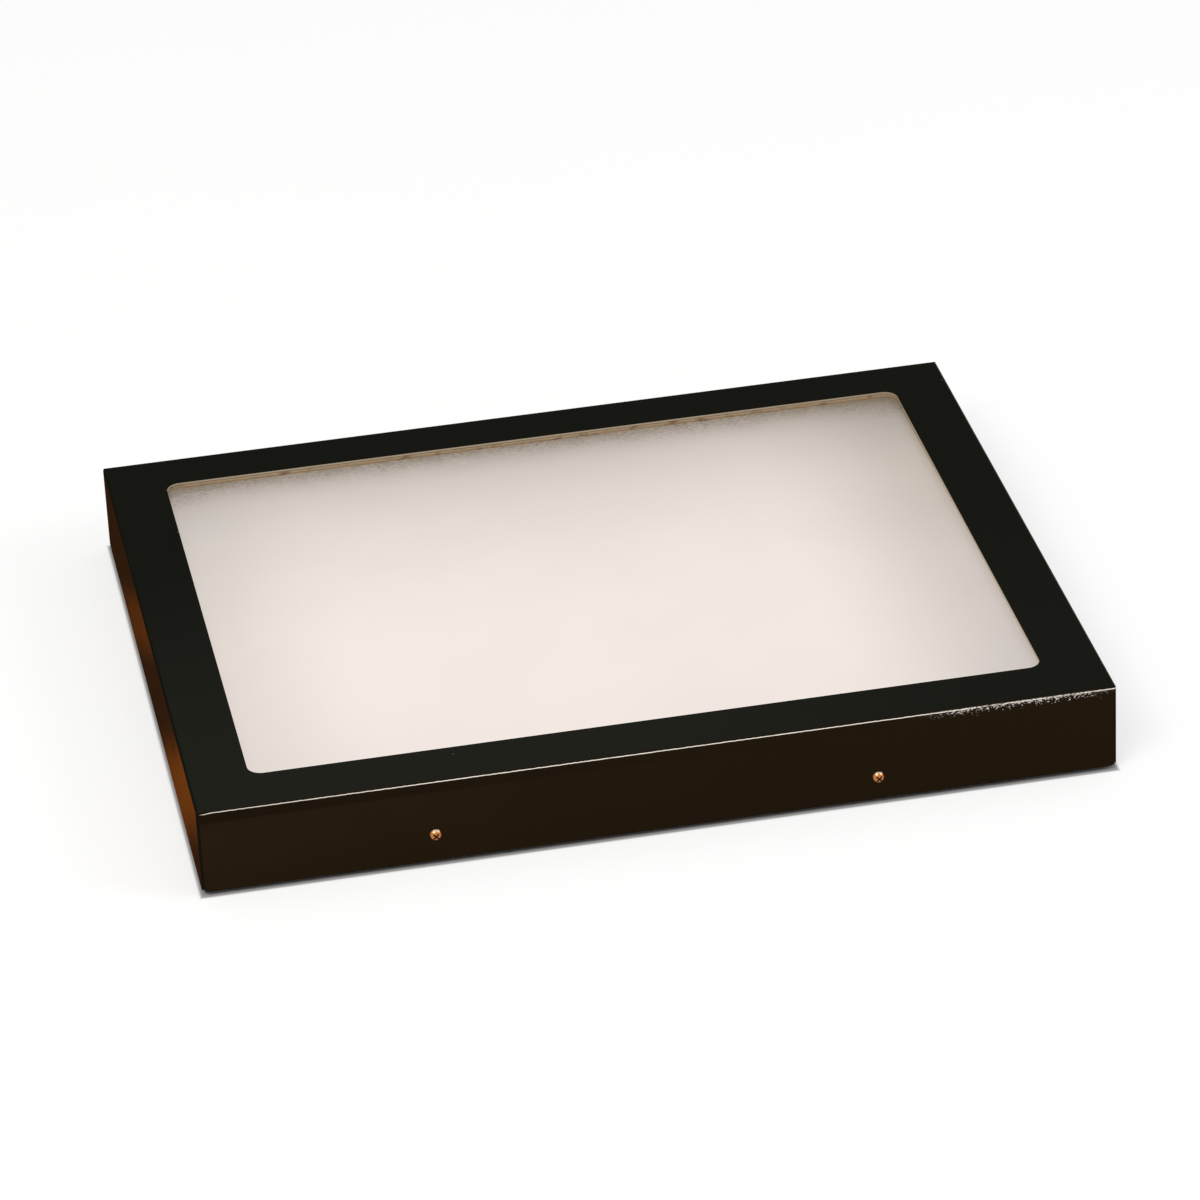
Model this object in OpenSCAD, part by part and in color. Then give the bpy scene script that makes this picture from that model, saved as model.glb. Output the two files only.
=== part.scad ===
// Light table: a folded steel lid with an opal window, screwed over a steel tray that holds
// four fluorescent lamps in a white reflector. Millimetres, +Z up. The origin is on the
// surface the table stands on, under the middle of the lid; +Y points to the back.

/* [Lid] */
// Overall width of the lid
body_w = 410; // [400:1:600]
// Overall depth of the lid
body_d = 330; // [326:1:480]
// Height from the surface it stands on to the top face
body_h = 43; // [41:0.5:80]
// Thickness of the lid's steel sheet
lid_t = 1; // [0.8:0.1:1.5]
// Outside radius of the folds round the top face
fold_r = 1.6; // [1.6:0.1:3]
// Radius of the rounded lower corners of the skirt
skirt_corner_r = 3; // [1:0.5:5]
// Width of the border left and right of the window
border_side = 27; // [25:0.5:50]
// Width of the border in front of and behind the window
border_end = 25.5; // [24:0.5:50]
// Corner radius of the window
window_r = 6.5; // [2:0.5:20]

/* [Diffuser] */
// Thickness of the opal acrylic panel
diffuser_t = 3; // [2:0.5:4]
// Thickness of the fibreboard gasket above the panel
gasket_t = 2.2; // [1:0.1:3]
// How far panel and gasket reach under the border
diffuser_lap = 10; // [6:0.5:12]
// Thickness of the panel's clamp strips
clamp_t = 1; // [0.6:0.1:1.5]

/* [Tray] */
// Thickness of the tray's steel sheet
tray_t = 1; // [0.8:0.1:1.5]
// Gap between the tray's walls and the lid's skirt
tray_gap = 0.3; // [0.2:0.1:0.6]
// Distance from the top face down to the tray's rim
tray_drop = 10; // [8:0.5:14]
// Length of a cooling slot in the tray's floor
vent_l = 30; // [15:1:40]
// Width of a cooling slot
vent_w = 4; // [2:0.5:6]

/* [Feet] */
// Height of a rubber foot under the tray
foot_h = 2.3; // [2:0.1:6]
// Diameter of a rubber foot
foot_d = 12; // [10:0.5:20]
// Distance from the lid's faces to a foot's centre
foot_inset = 22; // [18:1:40]

/* [Lid screws] */
// Diameter of the screw heads
screw_head_d = 5.7; // [5:0.1:7]
// Height of the domed screw heads
screw_head_h = 1.9; // [1.2:0.1:2.5]
// Length of a lid screw under its head
screw_l = 7; // [6:0.5:8]
// Distance of the front left screw from the middle
screw_left_x = 101.5; // [60:0.5:120]
// Height of the front left screw
screw_left_z = 15; // [10:0.5:18]
// Distance of the front right screw from the middle
screw_right_x = 96.5; // [60:0.5:120]
// Height of the front right screw
screw_right_z = 13; // [10:0.5:18]
// Distance of the rear right screw from the middle
screw_rear_x = 60; // [55:0.5:80]

/* [Lamps] */
// Diameter of a lamp's caps
lamp_d = 16; // [15:0.5:17]
// Length of a lamp between the faces of its caps
lamp_l = 288.3; // [212:0.1:288.3]
// Length of a lamp's cap
cap_l = 9; // [6:0.5:12]
// Thickness of the glass
glass_t = 0.7; // [0.5:0.1:1]
// Diameter of a contact pin
pin_d = 2.35; // [2.3:0.05:2.4]
// Distance between the two pins of a cap
pin_pitch = 4.75; // [4.5:0.05:5]
// Length of a contact pin
pin_l = 7.1; // [6.6:0.1:7.1]
// Distance between neighbouring lamps
lamp_pitch = 89; // [70:1:90]
// Clear height between a lamp and the reflector's floor
lamp_clear = 3.6; // [2:0.2:6]

/* [Lampholders] */
// Width of a lampholder
holder_w = 15; // [14:0.5:18]
// Thickness of a lampholder
holder_t = 9.5; // [9:0.5:11]
// Diameter of the turning collar in a lampholder
collar_d = 9; // [8.6:0.1:10]
// Radial running clearance of the collar in its holder
collar_gap = 0.08; // [0.03:0.01:0.1]

/* [Reflector] */
// Thickness of the reflector's sheet
reflector_t = 0.6; // [0.5:0.1:1]
// Height of the spacers that carry the reflector
spacer_h = 3; // [3:0.5:6]
// How far the reflector's walls lean outwards
reflector_lean = 17; // [5:1:20]

/* [Ballasts] */
// Length of a ballast's case
ballast_l = 150; // [120:5:160]
// Width of a ballast's case
ballast_w = 17; // [15:0.5:17]
// Height of a ballast's case
ballast_h = 18; // [16:0.5:20]

/* [Inlet and switch] */
// Distance of the appliance inlet from the middle
inlet_x = 166; // [160:1:170]
// Distance of the switch from the middle
switch_x = 112; // [106:1:114]
// Height of the inlet's and the switch's centre
socket_z = 18.5; // [17:0.5:20]
// Width of the rocker
rocker_w = 16.4; // [12:0.2:17]
// Angle through which the rocker tips
rocker_swing = 16; // [10:1:20]

/* [Hidden] */
$fn = 48;
cut = 1;                                    // how far a cutter runs past the face it opens

// Lid and window
skirt_in_x = body_w / 2 - lid_t;
skirt_in_y = body_d / 2 - lid_t;
top_under = body_h - lid_t;
window_w = body_w - 2 * border_side;
window_d = body_d - 2 * border_end;
gasket_setback = 0.2;                       // the gasket's inner edge stands back from the window
panel_w = window_w + 2 * diffuser_lap;
panel_d = window_d + 2 * diffuser_lap;
gasket_z = top_under - gasket_t;
diffuser_z = gasket_z - diffuser_t;

// Tray
tray_w = body_w - 2 * (lid_t + tray_gap);
tray_d = body_d - 2 * (lid_t + tray_gap);
tray_top = body_h - tray_drop;
floor_z = foot_h + tray_t;
tray_in_y = tray_d / 2 - tray_t;
tray_fold_r = 1.5 + tray_t;
tray_corner_r = skirt_corner_r;
vent_pitch = 48;
vent_y = 62;

// Fasteners: M3 throughout, with M4 for the earth stud
m3_r = 1.5;
m3_hole_r = 1.7;
m3_nut_af = 5.5;
m3_nut_h = 2.4;
thread_gap = 0.04;
m4_r = 2;
m4_nut_af = 7;
m4_nut_h = 3.2;
fit_gap = 0.2;                              // around loose pieces in cut-outs

// Reflector
reflector_z = floor_z + spacer_h;
reflector_floor = reflector_z + reflector_t;
reflector_top = tray_top + 1;
reflector_out = window_w / 2 + 4;           // half width at the top of the walls
reflector_in = reflector_out - reflector_lean;
reflector_lip = 5;

// Lamps and holders
lamp_z = reflector_floor + lamp_clear + lamp_d / 2;
lamp_xs = [for (i = [0:3]) (i - 1.5) * lamp_pitch];
cap_y = lamp_l / 2;                         // face of a cap
cap_wall = 1.5;
glass_gap = 0.05;
glass_r = lamp_d / 2 - 0.25;
cap_gap = 0.4;                              // between a cap and its holder
holder_y = cap_y + cap_gap;
collar_l = 4;
collar_r = collar_d / 2;
collar_bore_l = collar_l + 0.3;
pin_room_r = pin_pitch / 2 + pin_d / 2 + 0.35;
pin_room_l = pin_l - cap_gap + 0.6;
contact_t = 0.4;
contact_x = pin_pitch / 2 + pin_d / 2 + 0.15;
holder_foot_w = 8;
holder_foot_d = 5;
holder_hook_d = 6.6;
holder_hook_h = 1.4;

// Lit chamber and the ledges that carry the holders
chamber_y = cap_y - 3.15;                   // half depth; the caps' ends stand out of it
ledge_x = 1.5 * lamp_pitch + holder_w / 2 + 3;
ledge_y = holder_y + holder_t + 1.45;
stud_y = chamber_y + 9;
notch_r = lamp_d / 2 + 1.25;

// Ballasts and terminal block
ballast_t = 0.8;
ballast_x = tray_w / 2 - tray_fold_r - 0.4 - ballast_w / 2;
ballast_ear = 10;
ballast_right_y = -35;
board_t = 1.6;
block_x = ballast_x;
block_y = 84;
block_w = 16;
block_pitch = 10;
block_h = 14;
block_way = 4.5;                            // from the block's middle to a lead's hole
earth_y = 122;

// Inlet and switch
inlet_w = 27.5;
inlet_h = 19.8;
inlet_flange_w = 50;
inlet_flange_h = 22.5;
inlet_flange_t = 2.5;
inlet_screw_pitch = 40;
inlet_cavity_w = 24.2;
inlet_cavity_h = 16.2;
inlet_cavity_l = 15.5;
inlet_wall = 1.6;
blade_w = 2;
blade_h = 4;
blade_pitch = 14;
blade_rise = 4;
wall_y = tray_d / 2;                        // outer face of the tray's rear wall
switch_w = 18.8;
switch_h = 12.8;
switch_l = 14;
switch_flange_w = 21;
switch_flange_h = 15;
switch_flange_t = 2;
tab_pitch = 6;                              // of the switch's three tabs
tab_w = 0.8;
tab_h = 4.8;
tab_l = 7;
tab_out = 4;                                // of a tab's length behind the body
rocker_h = 10;
rocker_gap = 0.3;
pivot_r = 1;
pivot_gap = 0.05;
pivot_y = wall_y - 2.6;
notch_left = switch_x - switch_flange_w / 2 - 3.5;
notch_right = inlet_x + inlet_flange_w / 2 + 4;
notch_top = socket_z + inlet_flange_h / 2 + 2;
notch_corner_r = 3;

// Leads
lead_r = 0.9;
loom_r = 1.5;
race_y = tray_in_y - 3.2;                   // the raceway along the front and rear walls

// Colours
black_enamel = [0.07, 0.065, 0.055];
plated = [0.78, 0.75, 0.70];
white_paint = [0.93, 0.93, 0.90];
fibre = [0.62, 0.47, 0.30];
opal = [0.93, 0.91, 0.87];
black_rubber = [0.05, 0.05, 0.05];
black_plastic = [0.08, 0.08, 0.08];
brass = [0.80, 0.65, 0.35];
glass_white = [0.96, 0.96, 0.94];
steel = [0.66, 0.67, 0.68];
board_green = [0.10, 0.34, 0.18];
earth_green = [0.35, 0.62, 0.15];
grey_lead = [0.45, 0.45, 0.47];

// ---- shapes used by several pieces ----

module rounded_rect(w, d, r) {
    square([w - 2 * r, d], center = true);
    square([w, d - 2 * r], center = true);
    for (x = [-1, 1], y = [-1, 1])
        translate([x * (w / 2 - r), y * (d / 2 - r)]) circle(r);
}

// Outline of an arch-cornered face: square at the bottom, rounded by r at the top
module round_top(w, h, r) {
    translate([-w / 2, 0]) square([w, h - r]);
    translate([-w / 2 + r, 0]) square([w - 2 * r, h]);
    for (x = [-1, 1]) translate([x * (w / 2 - r), h - r]) circle(r);
}

// Block standing on z = 0 with its top edges rounded by r and its upright edges by upright_r
module folded_block(w, d, h, r, upright_r) {
    intersection() {
        linear_extrude(h) rounded_rect(w, d, upright_r);
        rotate([90, 0, 90]) translate([0, 0, -w / 2]) linear_extrude(w) round_top(d, h, r);
        rotate([90, 0, 0]) translate([0, 0, -d / 2]) linear_extrude(d) round_top(w, h, r);
    }
}

module nut(af, h, r) {
    difference() {
        cylinder(r = af / 2 / cos(30), h = h, $fn = 6);
        translate([0, 0, -cut]) cylinder(r = r + thread_gap, h = h + 2 * cut, $fn = 24);
    }
}

module washer(outer_r, inner_r, h) {
    difference() {
        cylinder(r = outer_r, h = h, $fn = 32);
        translate([0, 0, -cut]) cylinder(r = inner_r, h = h + 2 * cut, $fn = 32);
    }
}

// Cross-recessed screw: the head stands on z = 0, the shank points down. A domed head is part
// of a sphere; a flat head is a cone sunk below z = 0.
module cross_screw(head_r, head_h, shank_r, l, domed = true) {
    slot_w = head_r * 0.26;
    ball_r = (head_r * head_r + head_h * head_h) / (2 * head_h);
    difference() {
        union() {
            if (domed) {
                intersection() {
                    translate([0, 0, head_h - ball_r]) sphere(ball_r);
                    cylinder(r = head_r, h = head_h + cut);
                }
            } else {
                translate([0, 0, -head_h]) cylinder(r1 = shank_r, r2 = head_r, h = head_h);
            }
            translate([0, 0, -l]) cylinder(r = shank_r, h = l + (domed ? 0.1 : -head_h + 0.1), $fn = 24);
        }
        for (a = [45, 135])
            rotate(a) translate([-head_r * 0.58, -slot_w / 2, domed ? head_h - 1.25 : -1])
                cube([head_r * 1.16, slot_w, head_h + cut]);
    }
}

// A lead: points rounded by cutting their corners twice, then swept with a round section
function cut_corners(p, n) = n == 0 ? p : cut_corners(concat([p[0]],
    [for (i = [0:len(p) - 2]) each [p[i] * 0.75 + p[i + 1] * 0.25, p[i] * 0.25 + p[i + 1] * 0.75]],
    [p[len(p) - 1]]), n - 1);
function unit(v) = v / norm(v);
function heading(p, i) = unit(p[min(i + 1, len(p) - 1)] - p[max(i - 1, 0)]);
function carried(p, i, n) = let (t = heading(p, i), m = unit(n - (n * t) * t))
    i == len(p) - 1 ? [m] : concat([m], carried(p, i + 1, m));
module lead(points, r, start_normal = [0, 0, 1]) {
    sides = 8;
    path = cut_corners(points, 2);
    normals = carried(path, 0, start_normal);
    rings = [for (i = [0:len(path) - 1]) let (n = normals[i], b = cross(heading(path, i), n))
        each [for (k = [0:sides - 1]) path[i] + r * (n * cos(k * 360 / sides) + b * sin(k * 360 / sides))]];
    last = (len(path) - 1) * sides;
    polyhedron(rings, concat(
        [[for (k = [0:sides - 1]) k]],
        [for (i = [0:len(path) - 2], k = [0:sides - 1])
            let (a = i * sides + k, b = i * sides + (k + 1) % sides) [b, a, a + sides, b + sides]],
        [[for (k = [sides - 1:-1:0]) last + k]]));
}

// Repeats its children at the front and, turned round, at the rear
module both_ends() {
    children();
    mirror([0, 1, 0]) children();
}

// ---- lid ----

lid_screw_spots = [
    [-screw_left_x, -1, screw_left_z],
    [screw_right_x, -1, screw_right_z],
    [-screw_left_x, 1, screw_right_z],
    [screw_rear_x, 1, screw_right_z]];

// Puts its children at each lid screw with +Z pointing out of the skirt
module at_lid_screws(face_y) {
    for (s = lid_screw_spots)
        translate([s[0], s[1] * face_y, s[2]]) rotate([-90 * s[1], 0, 0]) children();
}

module corner_trim(w) {
    for (x = [-1, 1])
        translate([x * w / 2, 0]) difference() {
            translate([-skirt_corner_r, -skirt_corner_r]) square(2 * skirt_corner_r);
            translate([-x * skirt_corner_r, skirt_corner_r]) circle(skirt_corner_r);
        }
}

module lid() {
    skirt_h = body_h - foot_h;
    color(black_enamel) difference() {
        translate([0, 0, foot_h]) folded_block(body_w, body_d, skirt_h, fold_r, fold_r);
        translate([0, 0, foot_h - cut])
            folded_block(2 * skirt_in_x, 2 * skirt_in_y, skirt_h - lid_t + cut,
                fold_r - lid_t, fold_r - lid_t);
        translate([0, 0, top_under - cut]) linear_extrude(lid_t + 2 * cut)
            rounded_rect(window_w, window_d, window_r);
        both_ends() translate([0, -skirt_in_y + 0.01, foot_h]) rotate([90, 0, 0])
            linear_extrude(lid_t + cut) corner_trim(body_w);
        for (x = [0, 1]) mirror([x, 0, 0])
            translate([skirt_in_x - 0.01, 0, foot_h]) rotate([90, 0, 90])
                linear_extrude(lid_t + cut) corner_trim(body_d);
        at_lid_screws(body_d / 2 + cut) translate([0, 0, -lid_t - 2 * cut])
            cylinder(r = m3_hole_r, h = lid_t + 3 * cut);
        rear_notch();
    }
}

// Cut-out in the rear skirt, open downwards, that lets the lid lift past inlet and switch
module rear_notch() {
    notch_w = notch_right - notch_left;
    translate([(notch_left + notch_right) / 2, skirt_in_y + lid_t + cut, foot_h - cut]) rotate([90, 0, 0])
        linear_extrude(lid_t + 2 * cut) round_top(notch_w, notch_top - foot_h + cut, notch_corner_r);
}

module gasket() {
    color(fibre) translate([0, 0, gasket_z]) linear_extrude(gasket_t) difference() {
        square([panel_w, panel_d], center = true);
        rounded_rect(window_w + 2 * gasket_setback, window_d + 2 * gasket_setback, window_r);
    }
}

module diffuser() {
    color(opal) translate([0, 0, diffuser_z]) linear_extrude(diffuser_t) rounded_rect(panel_w, panel_d, 2);
}

// Clamp strips: a Z-section with its foot on the lid and its toe under the panel
clamp_gap = 0.5;                            // from the panel's edge to the strip
clamp_toe = 7;
clamp_foot = 11;
stud_out = clamp_gap + clamp_t + (clamp_foot - clamp_t) / 2;
clamp_front_l = window_w - 14;
clamp_side_l = window_d - 14;
lid_stud_l = 6;

clamp_stud_xs = [-1, 0, 1] * (clamp_front_l / 2 - 20);
clamp_stud_ys = [-1, 1] * (clamp_side_l / 2 - 20);

module clamp(l, spots) {
    step = gasket_t + diffuser_t;
    difference() {
        rotate([90, 0, 90]) translate([0, 0, -l / 2]) linear_extrude(l) {
            translate([-clamp_toe, -step - clamp_t]) square([clamp_toe + clamp_gap + clamp_t, clamp_t]);
            translate([clamp_gap, -step - clamp_t]) square([clamp_t, step + clamp_t]);
            translate([clamp_gap, -clamp_t]) square([clamp_foot, clamp_t]);
        }
        for (x = spots) translate([x, stud_out, -clamp_t - cut])
            cylinder(r = m3_hole_r, h = clamp_t + 2 * cut);
    }
}

module clamp_rear() {
    color(steel) translate([0, panel_d / 2, top_under]) clamp(clamp_front_l, clamp_stud_xs);
}

module clamp_front() {
    mirror([0, 1, 0]) clamp_rear();
}

module clamp_left() {
    color(steel) translate([-panel_w / 2, 0, top_under]) rotate(90) clamp(clamp_side_l, clamp_stud_ys);
}

module clamp_right() {
    mirror([1, 0, 0]) clamp_left();
}

module at_lid_studs() {
    for (y = [-1, 1], x = clamp_stud_xs)
        translate([x, y * (panel_d / 2 + stud_out), top_under]) children();
    for (x = [-1, 1], y = clamp_stud_ys)
        translate([x * (panel_w / 2 + stud_out), y, top_under]) children();
}

module lid_studs() {
    color(plated) at_lid_studs() translate([0, 0, -lid_stud_l])
        cylinder(r = m3_r, h = lid_stud_l, $fn = 24);
}

module clamp_nuts() {
    color(plated) at_lid_studs() translate([0, 0, -clamp_t - m3_nut_h]) nut(m3_nut_af, m3_nut_h, m3_r);
}

// ---- tray, feet and lid screws ----

foot_neck_r = 3;
foot_barb_r = 4;
foot_barb_h = 1.6;

module at_feet() {
    for (x = [-1, 1], y = [-1, 1])
        translate([x * (body_w / 2 - foot_inset), y * (body_d / 2 - foot_inset), 0]) children();
}

clinch_r = 2.6;                             // boss of a clinch nut, pressed into the tray's wall

module tray() {
    color(black_enamel) difference() {
        translate([0, 0, tray_top]) mirror([0, 0, 1])
            folded_block(tray_w, tray_d, tray_top - foot_h, tray_fold_r, tray_corner_r);
        translate([0, 0, tray_top + cut]) mirror([0, 0, 1])
            folded_block(tray_w - 2 * tray_t, tray_d - 2 * tray_t, tray_top - floor_z + cut,
                tray_fold_r - tray_t, tray_corner_r - tray_t);
        at_feet() cylinder(r = foot_neck_r + fit_gap, h = floor_z + cut, $fn = 32);
        at_lid_screws(wall_y + cut) translate([0, 0, -tray_t - 2 * cut])
            cylinder(r = clinch_r, h = tray_t + 3 * cut);
        vents();
        socket_cuts();
    }
}

module vents() {
    run = vent_l - vent_w;
    for (x = [-3:3], y = [-1, 1])
        translate([x * vent_pitch, y * vent_y, foot_h - cut]) linear_extrude(tray_t + 2 * cut) {
            square([run, vent_w], center = true);
            for (end = [-1, 1]) translate([end * run / 2, 0]) circle(vent_w / 2);
        }
}

// Openings of the tray's rear wall for the inlet, its screws and the switch
module socket_cuts() {
    deep = tray_t + 2 * cut;
    translate([inlet_x, wall_y - tray_t / 2, socket_z])
        cube([inlet_w + 2 * fit_gap, deep, inlet_h + 2 * fit_gap], center = true);
    for (x = [-1, 1]) translate([inlet_x + x * inlet_screw_pitch / 2, wall_y + cut, socket_z])
        rotate([90, 0, 0]) cylinder(r = m3_hole_r, h = deep);
    translate([switch_x, wall_y - tray_t / 2, socket_z])
        cube([switch_w + 2 * fit_gap, deep, switch_h + 2 * fit_gap], center = true);
}

module feet() {
    color(black_rubber) at_feet() rotate_extrude($fn = 48) difference() {
        union() {
            square([foot_d / 2, foot_h]);
            square([foot_neck_r, floor_z + foot_barb_h]);
            translate([0, floor_z]) square([foot_barb_r, foot_barb_h]);
        }
        translate([foot_d / 2, 0]) circle(0.8);
    }
}

// Clinch nut: its boss fills the hole and the gap, so the skirt is clamped between boss and head
module clinch_nuts() {
    rim_r = 3.4;
    rim_h = 1.4;
    nut_h = tray_gap + tray_t + rim_h;
    color(plated) at_lid_screws(wall_y) difference() {
        union() {
            translate([0, 0, -tray_t]) cylinder(r = clinch_r, h = tray_t + tray_gap);
            translate([0, 0, -tray_t - rim_h]) cylinder(r = rim_r, h = rim_h);
        }
        translate([0, 0, tray_gap - nut_h - cut]) cylinder(r = m3_r + thread_gap, h = nut_h + 2 * cut);
    }
}

module lid_screws() {
    color(plated) at_lid_screws(body_d / 2) cross_screw(screw_head_d / 2, screw_head_h, m3_r, screw_l);
}

reflector_stud_spots = [for (y = [-1, 1], x = [-1, 0, 1]) [x * lamp_pitch, y * stud_y]];
ballast_stud_spots = [for (y = [-1, 1] * (ballast_l + ballast_ear) / 2)
    each [[-ballast_x, y], [ballast_x, y + ballast_right_y]]];

module tray_studs() {
    color(plated) {
        for (p = reflector_stud_spots) translate([p[0], p[1], floor_z])
            cylinder(r = m3_r, h = spacer_h + 2 * reflector_t + m3_nut_h + 1, $fn = 24);
        for (p = ballast_stud_spots) translate([p[0], p[1], floor_z])
            cylinder(r = m3_r, h = ballast_t + m3_nut_h + 1, $fn = 24);
        translate([block_x, block_y, floor_z]) cylinder(r = m3_r, h = block_h + m3_nut_h - 3, $fn = 24);
        translate([ballast_x, earth_y, floor_z]) cylinder(r = m4_r, h = 8, $fn = 24);
    }
}

module stud_spacers() {
    color(steel) for (p = reflector_stud_spots)
        translate([p[0], p[1], floor_z]) washer(3, m3_r + fit_gap, spacer_h);
}

module tray_nuts() {
    color(plated) {
        for (p = reflector_stud_spots) translate([p[0], p[1], reflector_floor + reflector_t])
            nut(m3_nut_af, m3_nut_h, m3_r);
        for (p = ballast_stud_spots) translate([p[0], p[1], floor_z + ballast_t])
            nut(m3_nut_af, m3_nut_h, m3_r);
        translate([block_x, block_y, floor_z + block_h - 4]) nut(m3_nut_af, m3_nut_h, m3_r);
    }
}

// ---- reflector ----

module reflector() {
    color(white_paint) difference() {
        union() {
            rotate([90, 0, 0]) linear_extrude(2 * chamber_y, center = true) reflector_section();
            translate([0, 0, reflector_z + reflector_t / 2])
                cube([2 * ledge_x, 2 * ledge_y, reflector_t], center = true);
        }
        for (p = reflector_stud_spots) translate([p[0], p[1], reflector_z - cut])
            cylinder(r = m3_hole_r, h = reflector_t + 2 * cut);
        both_ends() for (x = lamp_xs)
            translate([x, -holder_y - holder_t / 2, reflector_z]) linear_extrude(4 * cut, center = true)
                square([holder_foot_w + 2 * fit_gap, holder_foot_d + 2 * fit_gap], center = true);
    }
}

module reflector_section() {
    rise = reflector_top - reflector_z;
    half = [
        [0, reflector_z], [reflector_in, reflector_z], [reflector_out, reflector_top],
        [reflector_out + reflector_lip, reflector_top],
        [reflector_out + reflector_lip, reflector_top + reflector_t],
        [reflector_out - reflector_t * reflector_lean / rise, reflector_top + reflector_t],
        [reflector_in - reflector_t, reflector_floor], [0, reflector_floor]];
    polygon(half);
    mirror([1, 0]) polygon(half);
}

// End plate of the chamber: an upright with open notches for the lamps and a foot with gaps
// for the lampholders
module reflector_end_rear() {
    plate_gap = 0.3;
    grow = reflector_lean * (reflector_top - reflector_floor) / (reflector_top - reflector_z);
    low = reflector_in - reflector_t - plate_gap;
    color(white_paint) difference() {
        union() {
            translate([0, chamber_y, 0]) rotate([90, 0, 0]) linear_extrude(reflector_t) polygon([
                [-low, reflector_floor], [low, reflector_floor],
                [low + grow - reflector_t, reflector_top], [-low - grow + reflector_t, reflector_top]]);
            translate([-ledge_x, chamber_y - reflector_t, reflector_floor])
                cube([2 * ledge_x, ledge_y - chamber_y + reflector_t, reflector_t]);
        }
        for (x = lamp_xs) {
            translate([x, chamber_y + cut, lamp_z]) rotate([90, 0, 0])
                cylinder(r = notch_r, h = reflector_t + 2 * cut);
            translate([x - notch_r, chamber_y - reflector_t - cut, lamp_z])
                cube([2 * notch_r, reflector_t + 2 * cut, reflector_top]);
            translate([x - holder_w / 2 - 1, holder_y - 0.5, reflector_floor - cut])
                cube([holder_w + 2, ledge_y, reflector_t + 2 * cut]);
        }
        for (p = reflector_stud_spots) translate([p[0], p[1], reflector_floor - cut])
            cylinder(r = m3_hole_r, h = reflector_t + 2 * cut);
    }
}

module reflector_end_front() {
    mirror([0, 1, 0]) reflector_end_rear();
}

// ---- lampholders and lamps ----

// Rear lampholder, modelled with the lamp's axis on the Y axis and its front face at y = 0
module holder() {
    drop = lamp_z - reflector_floor;
    color(white_paint) difference() {
        union() {
            rotate([-90, 0, 0]) cylinder(r = holder_w / 2, h = holder_t);
            translate([-holder_w / 2, 0, -drop]) cube([holder_w, holder_t, drop]);
            translate([0, holder_t / 2, -drop - reflector_t - 0.1])
                cube([holder_foot_w, holder_foot_d, 2 * reflector_t + 0.2], center = true);
            translate([0, holder_t / 2, -drop - reflector_t - 0.1 - holder_hook_h / 2])
                cube([holder_foot_w, holder_hook_d, holder_hook_h], center = true);
        }
        translate([0, -cut, 0]) rotate([-90, 0, 0])
            cylinder(r = collar_r + collar_gap, h = collar_bore_l + cut);
        rotate([-90, 0, 0]) cylinder(r = pin_room_r, h = pin_room_l);
        translate([-(pin_d + 0.3) / 2, -cut, 0]) cube([pin_d + 0.3, pin_room_l + cut, holder_w]);
        for (x = [-1, 1])
            translate([x * (contact_x + contact_t / 2), collar_bore_l + 1.2, -3.5])
                cube([contact_t + 0.2, 2, 11], center = true);
    }
}

module holder_rear(i) {
    translate([lamp_xs[i], holder_y, lamp_z]) holder();
}

module holder_front(i) {
    mirror([0, 1, 0]) holder_rear(i);
}

module holder_contacts() {
    color(brass) both_ends() for (x = lamp_xs, side = [-1, 1])
        translate([x + side * (contact_x + contact_t / 2), holder_y + collar_bore_l + 1.2, lamp_z - 3.5])
            cube([contact_t, 1.8, 10.6], center = true);
}

module lamp_tube(i) {
    half_l = cap_y - cap_wall - 0.2;
    color(glass_white) translate([lamp_xs[i], half_l, lamp_z]) rotate([90, 0, 0]) difference() {
        cylinder(r = glass_r, h = 2 * half_l);
        translate([0, 0, -cut]) cylinder(r = glass_r - glass_t, h = 2 * half_l + 2 * cut);
    }
}

module lamp_caps(i) {
    color(steel) translate([lamp_xs[i], 0, lamp_z]) both_ends() {
        translate([0, cap_y - cap_l, 0]) rotate([-90, 0, 0]) difference() {
            cylinder(r = lamp_d / 2, h = cap_l);
            translate([0, 0, -cut]) cylinder(r = glass_r + glass_gap, h = cap_l - cap_wall + cut);
        }
        for (x = [-1, 1]) translate([x * pin_pitch / 2, cap_y - 0.5, 0]) rotate([-90, 0, 0])
            cylinder(r = pin_d / 2, h = pin_l + 0.5, $fn = 24);
    }
}

// Collars: short drums with a slot for the pins, open to the left while the lamp is locked
module lamp_collars(i) {
    slot_half = pin_pitch / 2 + pin_d / 2 + 0.06;
    color(white_paint) translate([lamp_xs[i], 0, lamp_z]) both_ends() difference() {
        translate([0, holder_y + 0.1, 0]) rotate([-90, 0, 0]) cylinder(r = collar_r, h = collar_l);
        translate([-collar_d, holder_y - cut, -(pin_d + 0.12) / 2])
            cube([collar_d + slot_half, collar_l + 3 * cut, pin_d + 0.12]);
    }
}

// ---- ballasts and terminal block ----

module ballast_case() {
    in_w = ballast_w - 2 * ballast_t;
    in_l = ballast_l - 2 * ballast_t;
    color(steel) difference() {
        union() {
            translate([-ballast_w / 2, -ballast_l / 2, 0]) cube([ballast_w, ballast_l, ballast_h]);
            translate([-ballast_w / 2, -ballast_l / 2 - ballast_ear, 0])
                cube([ballast_w, ballast_l + 2 * ballast_ear, ballast_t]);
        }
        translate([-in_w / 2, -in_l / 2, -cut]) cube([in_w, in_l, ballast_h - ballast_t + cut]);
        for (y = [-1, 1]) {
            translate([0, y * (ballast_l + ballast_ear) / 2, -cut])
                cylinder(r = m3_hole_r, h = ballast_t + 2 * cut);
            translate([0, y * ballast_l / 2, 8]) cube([11, 4, 6], center = true);
        }
    }
}

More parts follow.
